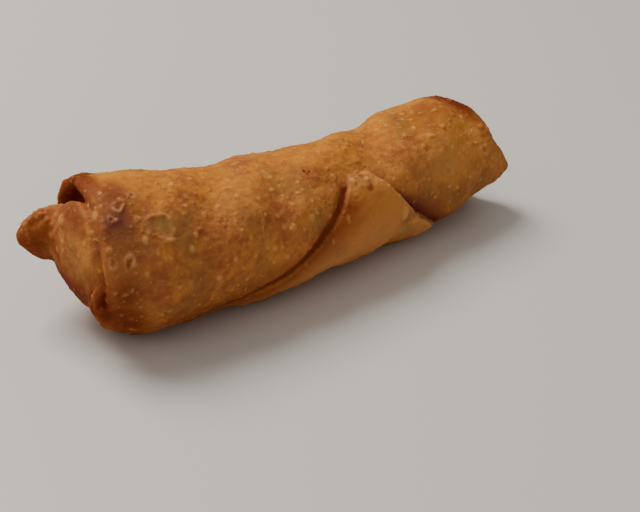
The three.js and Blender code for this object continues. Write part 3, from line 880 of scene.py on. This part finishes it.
class Skin:  # where each point of the finished skin lies
    def __init__(self, points):
        self.points = points
        self.across, self.up = points[:, 1], points[:, 2]
        self.along, self.angle, self.radius = unroll(points)
        self.degrees = np.degrees(self.angle)
        self.past = pastTip(self.angle)
        self.full = skinRadius(self.along, self.angle)
        self.outer = outerSkin(self.along, self.angle, self.radius)
        self.folded = smooth(-self.along, 65.5, 67)  # the folds that come out of the open end
        self.toFold = reachTo(points, foldPath(12))
        self.nearSeam = alongSeam(self.past)
        self.off, self.width = seamOff(self.along, self.angle), seamWidth(self.past)
        self.edge = self.along - edgeAt("bluntEdge", self.past)  # beyond the closing corner's right edge
        self.under = smooth(self.past, 0.1, 0.5) * (1 - smooth(self.past, 1.5, 1.9))
        self.onFlap = smooth(-self.off, 0.5, 2.5) * (1 - smooth(self.edge, -0.5, 0))
        self.onFlap = self.onFlap * (1 - smooth(self.past, 1.7, 2.0))
        self.border = self.nearSeam * smooth(self.past, 0.2, 0.5) * smooth(-self.off, -0.1, 0.2)
        self.border = self.border * bell((self.off + 1.2) / 4)
        self.inside = smooth(-self.along, 50, 56) * (1 - smooth(self.radius - 0.84 * self.full, 0, 1))
        self.inside = self.inside * (1 - smooth(-self.along, 62.5, 65.5))
        self.pocket = bellRound(self.angle, cap["pocketAt"], 50)

    def shade(self, reach):  # painted shadow beside the closing corner's right edge, fading over the reach
        return self.under * smooth(self.edge, 0.0, 0.5) * np.exp(-np.maximum(self.edge, 0) / reach)

    def patched(self, name):
        spots = []
        for at, overAlong, degrees, overRound, share in patches[name]:
            alongIt = bell((self.along - at) / overAlong)
            spots.append(share * alongIt * bell((self.degrees - degrees) / overRound))
        return np.max(spots, axis=0)

    def marked(self, spot):
        return self.outer * (1 - smooth(markReach(self.along, self.angle, spot), 0.35, 1.2))


# Fried browning, together with painted shade on the underside, the cap's foot, the beak's lower parts and
# beside the closing corner
def toastAndShadeOn(skin):
    along, degrees, across, up = skin.along, skin.degrees, skin.across, skin.up
    bluntRim = smooth(along, 43, 50.5) * bell((degrees - 88) / 45) * smooth(skin.radius / skin.full, 0.6, 0.9)
    seamFoot = skin.nearSeam * smooth(skin.past, 0.75, 1.1) * smooth(skin.off, 0, 1)
    spots = {
        "patches": skin.patched("toastAndShade"),
        "rimFront": 0.85 * smooth(-along, 61, 64) * (1 - skin.folded) * bell((degrees - 205) / 60),
        "rimTop": 0.5 * smooth(-along, 59, 62) * (1 - skin.folded) * bell((degrees - 125) / 40),
        "rimBack": 0.85 * smooth(-along, 57, 62) * (1 - smooth(-along, 65, 67)) * bell((degrees - 60) / 55),
        # the beak is browner towards its tip; its lower parts and the lower side of its root are darkened as
        # painted shade
        "beak": 0.42 * smooth(-along, 68, 72.5) + 0.3 * smooth(-along, 68, 73) * (1 - smooth(up, 19, 28)),
        "beakRoot": 0.75 * smooth(-along, 66, 69) * smooth(across, 0, 6) * (1 - smooth(up, 19, 27)),
        # painted shade: the lower part of the cap is darkened
        "capUnderShade": 0.85 * skin.folded * (1 - smooth(up, 13, 26)),
        "capTop": 0.6 * skin.folded * smooth(up, 26, 33),
        "capMiddle": 0.5 * skin.folded * bell((across + 1) / 3.5) * bell((up - 21) / 6),
        "smallFold": 0.5 * bell(skin.toFold / 2.8),
        "bluntRim": 0.95 * bluntRim + 0.4 * smooth(along, 52.6, 54),
        # painted shade: the underside is darkened
        "paintedUnderShade": 0.45 * bell((degrees - 225) / 32) * (1 - 0.8 * skin.onFlap),
        # painted shadow beside the closing corner's right edge
        "flapShade": skin.shade(5) * smooth(degrees, 135, 168),
        # the corner's left border: partly its own reddish colour, partly painted shade that dims the lit edge
        "flapBorder": 0.5 * skin.border,
        "flapCorner": 0.6 * skin.onFlap * bell((along - 17.5) / 4.5) * bell((degrees - 183) / 17),
        "flapTopEdge": 0.6 * bell((skin.past - 0.42) / 0.2) * bell((skin.off + 0.3) / 0.8),
        "seamFoot": 0.5 * seamFoot * bell((skin.off - 4) / 6),
        "seamSide": 0.4 * skin.nearSeam * bell((skin.off - 2.5) / 3),
    }
    holes = [min(-3 * height, 1) * skin.marked(spot) for *spot, height in smallMarks if height < 0]
    return np.max(list(spots.values()) + holes, axis=0)


# Painted shade: darkens the groove along the closing corner's left edge, the inside of the open end and the
# creases
def grooveShadeOn(skin):
    grooveShade = skin.nearSeam * smooth(skin.off, -0.1, 0.3)
    grooveShade = grooveShade * (1 - smooth(skin.off, 0.55 * skin.width, 1.4 * skin.width))
    grooveShade = np.maximum(grooveShade, 0.7 * skin.inside * (1 - skin.pocket))
    for stops, push, width, dark in strokes:
        reach = reachTo(skin.points - np.array(push) * 0.5, smoothPath(stops, 12))
        grooveShade = np.maximum(grooveShade, dark * (1 - smooth(reach, 0.6 * width, 1.8 * width)))
    return grooveShade


def pinkOn(skin):
    flapEdge = 0.5 * skin.under * bell((skin.edge + 0.5) / 0.4)
    flapFoot = 0.42 * skin.onFlap * bell((skin.degrees - 205) / 26)
    smallFold = 0.12 * (1 - smooth(skin.toFold, 0.9, 1.7))
    pink = np.max([flapEdge, flapFoot, smallFold, skin.patched("pink")], axis=0)
    for reach, way, phase, size, height, olive in ringsNear(skin.along, skin.angle):
        rim = bell((reach - size) / ring["rimWidth"]) * ringVaries("colour", way, phase)
        pink = np.maximum(pink, min(2.6 * height, 1) * min(1.6 / size, 1) * skin.outer * rim)
    return pink


# Lighter skin on the closing corner and the cap's side, and a painted highlight on the right part's bulge
def goldenAndHighlightOn(skin):
    capSide = skin.folded * smooth(-skin.across, 8, 12) * smooth(skin.up, 20, 27)
    return np.max([skin.onFlap, skin.patched("goldenAndHighlight"), capSide], axis=0)


# Painted light: the lit top of the roll, away from the open end's folds, is tinted amber
def litTopAmberOn(skin):
    return bell((skin.degrees - 75) / 42) * (1 - skin.folded)


# A plum painted shadow beside the closing corner's right edge, and a plum stain patch on the collar
def stainAndShadowOn(skin):
    return np.maximum(skin.shade(4) * smooth(skin.degrees, 150, 180), skin.patched("stainAndShadow"))


def oliveOn(skin):
    olives = [skin.patched("olive")]
    for reach, way, phase, size, height, olive in ringsNear(skin.along, skin.angle):
        olives.append(olive * skin.outer * (1 - smooth(reach, 0.5 * size, size)))
    return np.max(olives, axis=0)


# Pale blister tops, a paler foot of the closing corner, and a painted highlight on the right part's bulge
def paleAndHighlightOn(skin):
    flapFoot = 0.2 * skin.onFlap * bell((skin.degrees - 200) / 22)
    spots = [skin.patched("paleAndHighlight") + flapFoot]
    spots += [skin.marked(spot) for *spot, height in smallMarks if height > 0]
    for middle, size, height in wholeBlisters:
        spots.append(height * (1 - smooth(reachTo(skin.points, [middle]) / size, 0.4, 1.1)))
    return np.max(spots, axis=0)


def ruddyOn(skin):
    pocket = skin.inside * skin.pocket
    beak = 0.3 * smooth(-skin.along, 70, 73.5)
    return np.max([pocket, 0.46 * skin.border, 0.35 * bell(skin.toFold / 2.2), beak], axis=0)


def calmOn(skin):  # where there are few flecks
    return np.maximum(0.8 * skin.folded, 0.6 * skin.onFlap)


skinMarks = {
    "toastAndShade": toastAndShadeOn, "grooveShade": grooveShadeOn, "pink": pinkOn, "goldenAndHighlight": goldenAndHighlightOn, "litTopAmber": litTopAmberOn,
    "stainAndShadow": stainAndShadowOn, "olive": oliveOn, "paleAndHighlight": paleAndHighlightOn, "ruddy": ruddyOn, "calm": calmOn,
}


def markSkin(mesh):
    skin = Skin(vectorsOf(mesh, "co"))
    for name, worked in skinMarks.items():
        attribute = mesh.attributes.new(name, "FLOAT", "POINT")
        attribute.data.foreach_set("value", np.clip(worked(skin), 0, 1).astype(np.float32))


markSkin(piece.data)
points = vectorsOf(piece.data, "co")
points[:, 2] = np.maximum(points[:, 2], 0)
movePoints(piece.data, (points + np.array(roll["toPart"])) * mm)
piece.data.polygons.foreach_set("use_smooth", np.ones(len(piece.data.polygons), dtype=bool))
piece.data.materials.clear()
piece.data.materials.append(finish)
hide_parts("spring_roll")
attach(piece, "root")
print("roll finished")

# Floor, light and camera
studio = {
    "floorReach": 3, "floorColour": "#cfc8bf", "floorRoughness": 0.5,
    "keyAt": (-0.26, 0.55, 0.9), "keySize": 0.55, "keyPower": 13.0,
    "fillAt": (-0.55, -0.3, 0.95), "fillSize": 1.0, "fillPower": 2.0,
    "skyColour": (1, 0.97, 0.93, 1), "skyStrength": 0.34,
}
low, high = -studio["floorReach"], studio["floorReach"]
corners = [(low, low, 0), (high, low, 0), (high, high, 0), (low, high, 0)]
floorMesh = bpy.data.meshes.new("floor")
floorMesh.from_pydata(corners, [], [(0, 1, 2, 3)])
floor = bpy.data.objects.new("floor", floorMesh)
bpy.context.collection.objects.link(floor)
floorFinish = bpy.data.materials.new("paleFloor")
floorFinish.use_nodes = True
floorShader = floorFinish.node_tree.nodes["Principled BSDF"]
floorShader.inputs["Base Color"].default_value = paint(studio["floorColour"])
floorShader.inputs["Roughness"].default_value = studio["floorRoughness"]
floorMesh.materials.append(floorFinish)


def addLamp(name):
    lamp = bpy.data.lights.new(name, "AREA")
    lamp.size = studio[name + "Size"]
    lamp.energy = studio[name + "Power"]
    holder = bpy.data.objects.new(name, lamp)
    holder.location = studio[name + "At"]
    holder.rotation_euler = (-Vector(studio[name + "At"])).to_track_quat("-Z", "Y").to_euler()
    bpy.context.collection.objects.link(holder)


addLamp("key")
addLamp("fill")
sky = bpy.data.worlds.new("studioSky")
sky.use_nodes = True
skyShader = sky.node_tree.nodes["Background"]
skyShader.inputs["Color"].default_value = studio["skyColour"]
skyShader.inputs["Strength"].default_value = studio["skyStrength"]
bpy.context.scene.world = sky

shot = {
    "azimuth": -38.59, "elevation": 34, "roll": 5, "at": (-168.62, -220.34, 184.55),
    "lens": 70.31, "sensor": 36,
}
azimuth, elevation, tilt = (math.radians(shot[name]) for name in ("azimuth", "elevation", "roll"))
level = Vector((math.cos(azimuth), math.sin(azimuth), 0))
away = Vector((math.sin(azimuth), -math.cos(azimuth), 0))
back = math.cos(elevation) * away + math.sin(elevation) * Vector((0, 0, 1))
plumb = back.cross(level)
right = math.cos(tilt) * level + math.sin(tilt) * plumb
above = -math.sin(tilt) * level + math.cos(tilt) * plumb
camera = bpy.data.objects.new("camera", bpy.data.cameras.new("camera"))
camera.data.lens = shot["lens"]
camera.data.sensor_width = shot["sensor"]
place = Matrix.Translation((Vector(shot["at"]) + Vector(roll["toPart"])) * mm)
camera.matrix_world = place @ Matrix((right, above, back)).transposed().to_4x4()
bpy.context.collection.objects.link(camera)
bpy.context.scene.camera = camera
